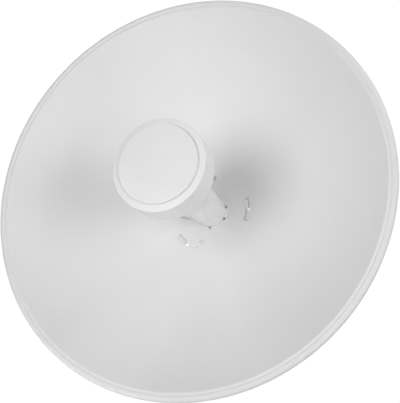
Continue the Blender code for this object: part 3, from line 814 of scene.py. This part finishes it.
def housing_strip(name, middle_deg, half_deg, middle_y, half_length, height):
    """A strip that lies round the tapered housing, a hair above its wall."""
    low_y, high_y = middle_y - half_length, middle_y + half_length
    section = [
        (housing_radius(low_y) + GAP, low_y),
        (housing_radius(low_y) + height, low_y),
        (housing_radius(high_y) + height, high_y),
        (housing_radius(high_y) + GAP, high_y),
    ]
    ends = (middle_deg - half_deg, middle_deg + half_deg)
    return mesh_object(name, swept(*ends, section, STRIP_STEP_DEG))


def build_fittings(grey, lens, steel):
    """The release tab on top, the status lens on one side and the ground screw on the other."""
    tab_size = (RELEASE_Y, RELEASE_HALF_LENGTH, RELEASE_HEIGHT)
    tab = housing_strip("release_button", 0.0, RELEASE_HALF_DEG, *tab_size)
    grooves = []
    for place in RIDGE_GROOVES:
        y = RELEASE_Y + place
        floor = housing_radius(y) + RIDGE_GROOVE_FLOOR
        top = floor + RIDGE_GROOVE_HEIGHT
        section = [(floor, y), (top, y - RIDGE_GROOVE_HALF), (top, y + RIDGE_GROOVE_HALF)]
        ends = (-RIDGE_GROOVE_HALF_DEG, RIDGE_GROOVE_HALF_DEG)
        grooves.append(swept(*ends, section, STRIP_STEP_DEG))
    carve(baked(soften(tab, FINE_EDGE, 2)), merged(grooves))
    seat(tab, grey, "grey_plastic", "release_tab")
    lens_size = (LENS_Y, LENS_HALF_LENGTH, LENS_HEIGHT)
    light = housing_strip("light_pipe", 90.0, LENS_HALF_DEG, *lens_size)
    seat(soften(light, FINE_EDGE), lens, "lens", "status_lens")
    wall = housing_radius(GROUND_SCREW_Y - GROUND_SCREW_RADIUS) + GAP
    hexagon = disc((GROUND_SCREW_Y, 0.0), GROUND_SCREW_RADIUS, 6)
    bolt = extruded(hexagon, -wall - GROUND_SCREW_HEIGHT, -wall, axis="X")
    head = mesh_object("ground_bolt", bolt)
    slot_low = (-wall - GROUND_SLOT_TOP, GROUND_SCREW_Y - GROUND_SLOT_REACH, -GROUND_SLOT_HALF)
    slot_high = (-wall - GROUND_SLOT_FLOOR, GROUND_SCREW_Y + GROUND_SLOT_REACH, GROUND_SLOT_HALF)
    carve(head, block(slot_low, slot_high))
    seat(soften(head, FINE_EDGE), steel, "steel", "ground_screw")


def build_socket(black, gold):
    """The socket in the port recess, with its mouth facing down and its contacts inside."""
    half_x, half_y = PORT_HALF_X - SOCKET_ROOM, PORT_HALF_Y - SOCKET_ROOM
    low = (-half_x, PORT_Y - half_y, SOCKET_MOUTH_Z)
    high = (half_x, PORT_Y + half_y, PORT_DEPTH_Z - GAP)
    socket = mesh_object("network_jack", block(low, high))
    mouth_low = (low[0] + SOCKET_WALL, low[1] + SOCKET_WALL, low[2] - 2.0 * CUT_ROOM)
    mouth_high = (high[0] - SOCKET_WALL, high[1] - SOCKET_WALL, high[2] - SOCKET_FLOOR)
    carve(socket, block(mouth_low, mouth_high))
    seat(soften(socket, FINE_EDGE, 2), black, "dark_plastic", "network_socket")
    front = mouth_low[1] + CONTACT_STANDOFF
    back = front + CONTACT_THICKNESS
    bottom = low[2] + CONTACT_SETBACK
    top = mouth_high[2] - CONTACT_END_GAP
    pins = []
    for i in range(CONTACT_COUNT):
        x = (i - (CONTACT_COUNT - 1) / 2.0) * CONTACT_PITCH
        left, right = x - CONTACT_HALF_WIDTH, x + CONTACT_HALF_WIDTH
        pins.append(block((left, front, bottom), (right, back, top)))
    seat(mesh_object("jack_contacts", merged(pins)), gold, "steel")


def build_ball_joint(plastic, grey):
    """The socket on the cover, the ball on its stem and the nut that locks them."""
    front = HOUSING_BACK_Y + COVER_THICKNESS + 2.0 * GAP
    back = front + SOCKET_LENGTH
    bore = BALL_RADIUS + BALL_CLEARANCE
    socket = filleted(
        [
            (bore, front, 0.0),
            (SOCKET_RADIUS, front, SOCKET_EDGE),
            (SOCKET_RADIUS, back, SOCKET_EDGE),
            (bore, back, 0.0),
        ],
        closed=True,
    )
    seat(mesh_object("ball_cup", lathe(socket, ring=True)), plastic, "white_plastic", "ball_socket")
    neck_angle = math.asin(STEM_RADIUS / BALL_RADIUS)
    ball = [(0.0, BALL_Y - BALL_RADIUS)]
    for i in range(1, BALL_ROWS + 1):
        angle = math.pi - (math.pi - neck_angle) * i / BALL_ROWS
        ball.append((BALL_RADIUS * math.sin(angle), BALL_Y + BALL_RADIUS * math.cos(angle)))
    stem_end = -SADDLE_THICKNESS - BOSS_LENGTH - GAP
    stem = mesh_object("ball_pin", lathe(ball + [(STEM_RADIUS, stem_end), (0.0, stem_end)]))
    seat(stem, grey, "grey_plastic", "ball_stem")
    build_nut(front, back, grey)


def build_nut(socket_front, socket_back, grey):
    """A ribbed ring nut over the socket, with a round seat that holds the ball in."""
    back = socket_back + NUT_OVERHANG
    front = socket_front + NUT_COVER
    inner = SOCKET_RADIUS + GAP
    seat_radius = BALL_RADIUS + BALL_CLEARANCE
    count = NUT_RIBS * NUT_RIB_SIDES

    def loop(radius, y, ribbed=0.0):
        points = []
        for i in range(count):
            wave = math.cos(TURN * (i / NUT_RIB_SIDES - NUT_RIB_TURN))
            crisp = math.tanh(NUT_RIB_CRISPNESS * wave) / math.tanh(NUT_RIB_CRISPNESS)
            dip = NUT_RIB_DEPTH * ribbed * (0.5 - 0.5 * crisp)
            points.append(around(360.0 * i / count, radius - dip, y))
        return points

    loops = [loop(inner, front)]
    for inset, depth, ribbed in NUT_FRONT_EDGE:
        loops.append(loop(NUT_RADIUS - inset, front + depth, ribbed))
    for inset, depth, ribbed in NUT_BACK_EDGE:
        loops.append(loop(NUT_RADIUS - inset, back - depth, ribbed))
    seat_start = socket_back + GAP
    for i in range(NUT_SEAT_ROWS + 1):
        y = back + (seat_start - back) * i / NUT_SEAT_ROWS
        loops.append(loop(math.sqrt(seat_radius**2 - (y - BALL_Y) ** 2), y))
    loops.append(loop(inner, seat_start))
    seat(mesh_object("ring_nut", skin(loops, closed=True)), grey, "grey_plastic", "lock_nut")


def build_bracket(grey):
    """A block with a flat saddle between two toothed jaws, and a boss for the ball's stem."""
    half = SADDLE_HALF_WIDTH
    plan = filleted(
        [
            (-half, -SADDLE_THICKNESS, SADDLE_CORNER),
            (half, -SADDLE_THICKNESS, SADDLE_CORNER),
            (half, JAW_HEIGHT, JAW_EDGE),
            (JAW_INNER_X, JAW_HEIGHT, 0.0),
            (JAW_INNER_X, 0.0, 0.0),
            (-JAW_INNER_X, 0.0, 0.0),
            (-JAW_INNER_X, JAW_HEIGHT, 0.0),
            (-half, JAW_HEIGHT, JAW_EDGE),
        ],
        closed=True,
    )
    body = extruded(plan, -SADDLE_HALF_HEIGHT, SADDLE_HALF_HEIGHT)
    bracket = mesh_object("saddle_bracket", body)
    pitch = 2.0 * SADDLE_HALF_HEIGHT / (TOOTH_COUNT + 1)
    reach = half + 5.0 * CUT_ROOM
    for number in range(TOOTH_COUNT):
        middle = pitch * (number - (TOOTH_COUNT - 1) / 2.0)
        notch = [
            (JAW_HEIGHT + CUT_ROOM, middle - pitch * TOOTH_NOTCH_SHARE),
            (JAW_HEIGHT + CUT_ROOM, middle + pitch * TOOTH_NOTCH_SHARE),
            (JAW_HEIGHT - TOOTH_DEPTH, middle),
        ]
        carve(bracket, extruded(notch, -reach, reach, axis="X"))
    boss_ends = (-SADDLE_THICKNESS - BOSS_LENGTH, -SADDLE_THICKNESS + CUT_ROOM)
    boss = extruded(disc((0.0, 0.0), BOSS_RADIUS, BOSS_SIDES), *boss_ends, axis="Y")
    carve(bracket, boss, "UNION")
    slot_half = BAND_HALF_WIDTH + BAND_SLOT_CLEARANCE
    depth = BAND_THICKNESS / 2.0 + BAND_SLOT_CLEARANCE
    slot_low = (-BAND_SLOT_REACH, BAND_RUN_Y - depth, -slot_half)
    slot_high = (BAND_SLOT_REACH, BAND_RUN_Y + depth, slot_half)
    carve(bracket, block(slot_low, slot_high))
    seat(soften(bracket, MOULDED_EDGE, 2), grey, "grey_plastic", "pole_bracket")


def band_outline(offset):
    """The band's path: a straight run through the bracket, then round the pole."""
    reach = POLE_RADIUS + BAND_THICKNESS / 2.0 + GAP
    distance = reach + offset
    points = []
    for i in range(BAND_ARC_STEPS + 1):
        angle = math.pi * i / BAND_ARC_STEPS
        points.append((distance * math.cos(angle), POLE_RADIUS + distance * math.sin(angle)))
    distance = BAND_CORNER + offset
    centre_y = BAND_RUN_Y + BAND_CORNER
    for side, first in ((-1, math.pi), (1, 1.5 * math.pi)):
        centre_x = side * (reach - BAND_CORNER)
        for i in range(BAND_CORNER_STEPS + 1):
            angle = first + math.pi / 2.0 * i / BAND_CORNER_STEPS
            x = centre_x + distance * math.cos(angle)
            points.append((x, centre_y + distance * math.sin(angle)))
    return points


def build_band(steel):
    """The steel band, with its edges eased."""
    half, quarter = BAND_THICKNESS / 2.0, BAND_THICKNESS / 4.0
    edge = BAND_HALF_WIDTH - BAND_EDGE
    section = (
        (half, -edge),
        (half, edge),
        (quarter, BAND_HALF_WIDTH),
        (-quarter, BAND_HALF_WIDTH),
        (-half, edge),
        (-half, -edge),
        (-quarter, -BAND_HALF_WIDTH),
        (quarter, -BAND_HALF_WIDTH),
    )
    loops = []
    for offset, z in section:
        loops.append([(x, y, z) for x, y in band_outline(offset)])
    band = mesh_object("steel_band", skin(loops, closed=True))
    seat(band, steel, "steel", "clamp_band")


def build_band_screw(steel):
    """The housing on the band and the hexagon head of its screw."""
    side = POLE_RADIUS + BAND_THICKNESS + 2.0 * GAP
    foot, top = side + SCREW_HOUSING_FOOT, side + SCREW_HOUSING_HEIGHT
    width = BAND_HALF_WIDTH + SCREW_HOUSING_OVERHANG
    crown = width - SCREW_HOUSING_TAPER
    shell = filleted(
        [
            (side, -width, 0.0),
            (foot, -width, SCREW_HOUSING_FOOT_ROUND),
            (top, -crown, SCREW_HOUSING_TAPER),
            (top, crown, SCREW_HOUSING_TAPER),
            (foot, width, SCREW_HOUSING_FOOT_ROUND),
            (side, width, 0.0),
        ],
        closed=True,
    )
    ends = (SCREW_HOUSING_Y - SCREW_HOUSING_HALF, SCREW_HOUSING_Y + SCREW_HOUSING_HALF)
    housing = mesh_object("worm_housing", extruded(shell, *ends, axis="Y"))
    seat(soften(housing, SCREW_HOUSING_EDGE, 2), steel, "steel", "band_screw_housing")
    middle_x = side + WORM_HEIGHT
    start = ends[1] + GAP
    hexagon = disc((middle_x, 0.0), WORM_HEAD_RADIUS, 6)
    bolt = extruded(hexagon, start, start + WORM_HEAD_LENGTH, axis="Y")
    head = mesh_object("worm_screw", bolt)
    slot_low = (middle_x - WORM_SLOT_REACH, start + WORM_SLOT_FLOOR, -WORM_SLOT_HALF)
    slot_high = (middle_x + WORM_SLOT_REACH, start + WORM_SLOT_TOP, WORM_SLOT_HALF)
    carve(head, block(slot_low, slot_high))
    seat(soften(head, MOULDED_EDGE), steel, "steel", "band_screw")


def node(tree, kind, links=(), **values):
    """Add a node, set its sockets and properties, and link (socket, source output) pairs to it."""
    made = tree.nodes.new(kind)
    for key, value in values.items():
        if key in made.inputs:
            made.inputs[key].default_value = value
        else:
            setattr(made, key, value)
    for socket, source in links:
        tree.links.new(source, made.inputs[socket])
    return made


def base_material(name, metallic=0.0):
    """A material with its tree, its shader and the object's own coordinates."""
    made = bpy.data.materials.new(name)
    made.use_nodes = True
    tree = made.node_tree
    shader = tree.nodes["Principled BSDF"]
    shader.inputs["Metallic"].default_value = metallic
    place = tree.nodes.new("ShaderNodeTexCoord").outputs["Object"]
    return made, tree, shader, place


def tinted(tree, factor, dark, light):
    """A colour that runs between two as the factor does."""
    ramp = tree.nodes.new("ShaderNodeValToRGB")
    for element, position, color in zip(ramp.color_ramp.elements, TINT_RANGE, (dark, light)):
        element.position = position
        element.color = (*color, 1.0)
    tree.links.new(factor, ramp.inputs["Fac"])
    return ramp.outputs["Color"]


def noise(tree, place, scale, detail=3.0, roughness=0.5, stretch=None):
    """Noise in the object's own space; stretch scales the three axes before it."""
    if stretch:
        mapping = node(tree, "ShaderNodeMapping", [("Vector", place)], Scale=stretch)
        place = mapping.outputs["Vector"]
    values = {"Scale": scale, "Detail": detail, "Roughness": roughness}
    return node(tree, "ShaderNodeTexNoise", [("Vector", place)], **values).outputs["Fac"]


def finish_material(tree, shader, color, grain, rough_range, bump_strength, bump_distance):
    """Link the colour, and let the grain drive both the roughness and a bump."""
    tree.links.new(color, shader.inputs["Base Color"])
    ranged = node(tree, "ShaderNodeMapRange", [("Value", grain)])
    ranged.inputs["To Min"].default_value = rough_range[0]
    ranged.inputs["To Max"].default_value = rough_range[1]
    tree.links.new(ranged.outputs["Result"], shader.inputs["Roughness"])
    bump = {"Strength": bump_strength, "Distance": bump_distance}
    raised = node(tree, "ShaderNodeBump", [("Height", grain)], **bump)
    tree.links.new(raised.outputs["Normal"], shader.inputs["Normal"])


def powder_coat():
    """White powder coat: a soft orange peel with a finer grain in its gloss."""
    made, tree, shader, place = base_material("white_powder_coat")
    drift = noise(tree, place, scale=9.0, detail=4.0)
    color = tinted(tree, drift, dark=(0.785, 0.785, 0.785), light=(0.815, 0.815, 0.815))
    peel = noise(tree, place, scale=620.0, detail=2.0, roughness=0.45)
    finish_material(
        tree, shader, color, peel, rough_range=(0.44, 0.56), bump_strength=0.25, bump_distance=0.00012
    )
    return made


def moulded_plastic(name, dark, light, grain_scale, rough_range, bump_strength):
    """Moulded plastic: a fine spark-eroded grain over a faint flow of tone."""
    made, tree, shader, place = base_material(name)
    flow = noise(tree, place, scale=28.0, stretch=(1.0, 0.35, 1.0))
    color = tinted(tree, flow, dark, light)
    grain = noise(tree, place, grain_scale, roughness=0.6)
    finish_material(
        tree, shader, color, grain, rough_range, bump_strength, bump_distance=0.00010
    )
    return made


def brushed_steel():
    """Stainless steel, brushed along the band."""
    made, tree, shader, place = base_material("stainless_steel", metallic=1.0)
    brush = noise(tree, place, scale=60.0, detail=5.0, roughness=0.6, stretch=(1.0, 1.0, 60.0))
    color = tinted(tree, brush, dark=(0.50, 0.50, 0.51), light=(0.68, 0.68, 0.69))
    finish_material(
        tree, shader, color, brush, rough_range=(0.22, 0.40), bump_strength=0.30, bump_distance=0.00005
    )
    return made


def gold_plate():
    """Thin gold on the socket's contacts."""
    made, tree, shader, place = base_material("gold_plate", metallic=1.0)
    worn = noise(tree, place, scale=900.0)
    color = tinted(tree, worn, dark=(0.78, 0.55, 0.22), light=(0.90, 0.68, 0.32))
    finish_material(
        tree, shader, color, worn, rough_range=(0.18, 0.32), bump_strength=0.15, bump_distance=0.00003
    )
    return made


def build_object():
    """The finishes, then every piece from the front to the back."""
    paint = powder_coat()
    white = moulded_plastic(
        "white_plastic",
        dark=(0.800, 0.800, 0.800),
        light=(0.830, 0.830, 0.830),
        grain_scale=1500.0,
        rough_range=(0.36, 0.48),
        bump_strength=0.20,
    )
    grey = moulded_plastic(
        "grey_plastic",
        dark=(0.585, 0.595, 0.605),
        light=(0.640, 0.650, 0.660),
        grain_scale=1100.0,
        rough_range=(0.42, 0.58),
        bump_strength=0.35,
    )
    black = moulded_plastic(
        "dark_plastic",
        dark=(0.040, 0.040, 0.044),
        light=(0.060, 0.060, 0.066),
        grain_scale=1200.0,
        rough_range=(0.40, 0.55),
        bump_strength=0.30,
    )
    lens = moulded_plastic(
        "smoked_lens",
        dark=(0.50, 0.53, 0.55),
        light=(0.60, 0.63, 0.65),
        grain_scale=300.0,
        rough_range=(0.10, 0.18),
        bump_strength=0.05,
    )
    steel = brushed_steel()
    gold = gold_plate()
    build_dish(paint)
    build_cap(white)
    build_bell(white)
    build_collar(white)
    build_bayonet(white)
    build_rear_housing(white)
    build_cover(white, steel)
    build_fittings(grey, lens, steel)
    build_socket(black, gold)
    build_ball_joint(white, grey)
    build_bracket(grey)
    build_band(steel)
    build_band_screw(steel)


def direction(azimuth, elevation):
    """The unit vector towards an azimuth, measured from straight in front, and an elevation."""
    a, e = math.radians(azimuth), math.radians(elevation)
    return Vector((math.sin(a) * math.cos(e), -math.cos(a) * math.cos(e), math.sin(e)))


def build_camera():
    """The photograph's viewpoint."""
    back = direction(CAMERA_AZIMUTH, CAMERA_ELEVATION)
    a = math.radians(CAMERA_AZIMUTH)
    right = Vector((math.cos(a), math.sin(a), 0.0))
    up = back.cross(right)
    target = RIM_CENTRE + right * AIM_RIGHT + up * AIM_UP
    data = bpy.data.cameras.new("photo_camera")
    data.lens = LENS_MM
    data.clip_start, data.clip_end = CLIP_NEAR, CLIP_FAR
    camera = bpy.data.objects.new("photo_camera", data)
    camera.location = target + back * CAMERA_DISTANCE
    camera.rotation_euler = (-back).to_track_quat("-Z", "Y").to_euler()
    bpy.context.scene.collection.objects.link(camera)
    bpy.context.scene.camera = camera


def build_softboxes():
    """Soft area lights that face the rim's centre."""
    for name, (azimuth, elevation, distance, width, height, watts) in SOFTBOXES.items():
        data = bpy.data.lights.new(name, "AREA")
        data.shape = "RECTANGLE"
        data.size = width
        data.size_y = height
        data.energy = watts
        data.spread = math.radians(LIGHT_SPREAD_DEG)
        light = bpy.data.objects.new(name, data)
        way = direction(azimuth, elevation)
        light.location = RIM_CENTRE + way * distance
        light.rotation_euler = way.to_track_quat("Z", "Y").to_euler()
        light.visible_camera = False
        bpy.context.scene.collection.objects.link(light)


def build_world():
    """Soft light from all round, more of it behind the dish, and a white backdrop for the camera."""
    world = bpy.data.worlds.new("studio")
    world.use_nodes = True
    tree = world.node_tree
    tree.nodes.clear()
    way = tree.nodes.new("ShaderNodeTexCoord").outputs["Generated"]
    split = node(tree, "ShaderNodeSeparateXYZ", [("Vector", way)])
    level = node(tree, "ShaderNodeMapRange", [("Value", split.outputs["Y"])])
    level.inputs["From Min"].default_value = 0.0
    level.inputs["From Max"].default_value = 1.0
    level.inputs["To Min"].default_value = AMBIENT
    level.inputs["To Max"].default_value = AMBIENT_BEHIND
    ambient = node(tree, "ShaderNodeBackground", Color=WHITE)
    tree.links.new(level.outputs["Result"], ambient.inputs["Strength"])
    backdrop = node(tree, "ShaderNodeBackground", Color=WHITE, Strength=BACKDROP)
    seen = node(tree, "ShaderNodeLightPath").outputs["Is Camera Ray"]
    mixed = tree.nodes.new("ShaderNodeMixShader")
    tree.links.new(seen, mixed.inputs[0])
    tree.links.new(ambient.outputs[0], mixed.inputs[1])
    tree.links.new(backdrop.outputs[0], mixed.inputs[2])
    output = tree.nodes.new("ShaderNodeOutputWorld")
    tree.links.new(mixed.outputs[0], output.inputs["Surface"])
    bpy.context.scene.world = world


def build_floor():
    """A pale floor that belongs to the studio."""
    made, tree, shader, place = base_material("pale_floor")
    mottle = noise(tree, place, scale=3.0, detail=4.0)
    color = tinted(tree, mottle, dark=(0.86, 0.86, 0.86), light=(0.90, 0.90, 0.90))
    grain = noise(tree, place, scale=160.0)
    finish_material(
        tree, shader, color, grain, rough_range=(0.75, 0.90), bump_strength=0.10, bump_distance=0.0005
    )
    corners = []
    for side_x, side_y in ((-1, -1), (1, -1), (1, 1), (-1, 1)):
        corners.append((side_x * FLOOR_HALF, side_y * FLOOR_HALF, FLOOR_Z))
    mesh = bpy.data.meshes.new("floor")
    mesh.from_pydata(corners, [], [(0, 1, 2, 3)])
    mesh.materials.append(made)
    floor = bpy.data.objects.new("floor", mesh)
    bpy.context.scene.collection.objects.link(floor)


build_object()
build_floor()
build_world()
build_softboxes()
build_camera()
bpy.context.scene.view_settings.view_transform = "Standard"
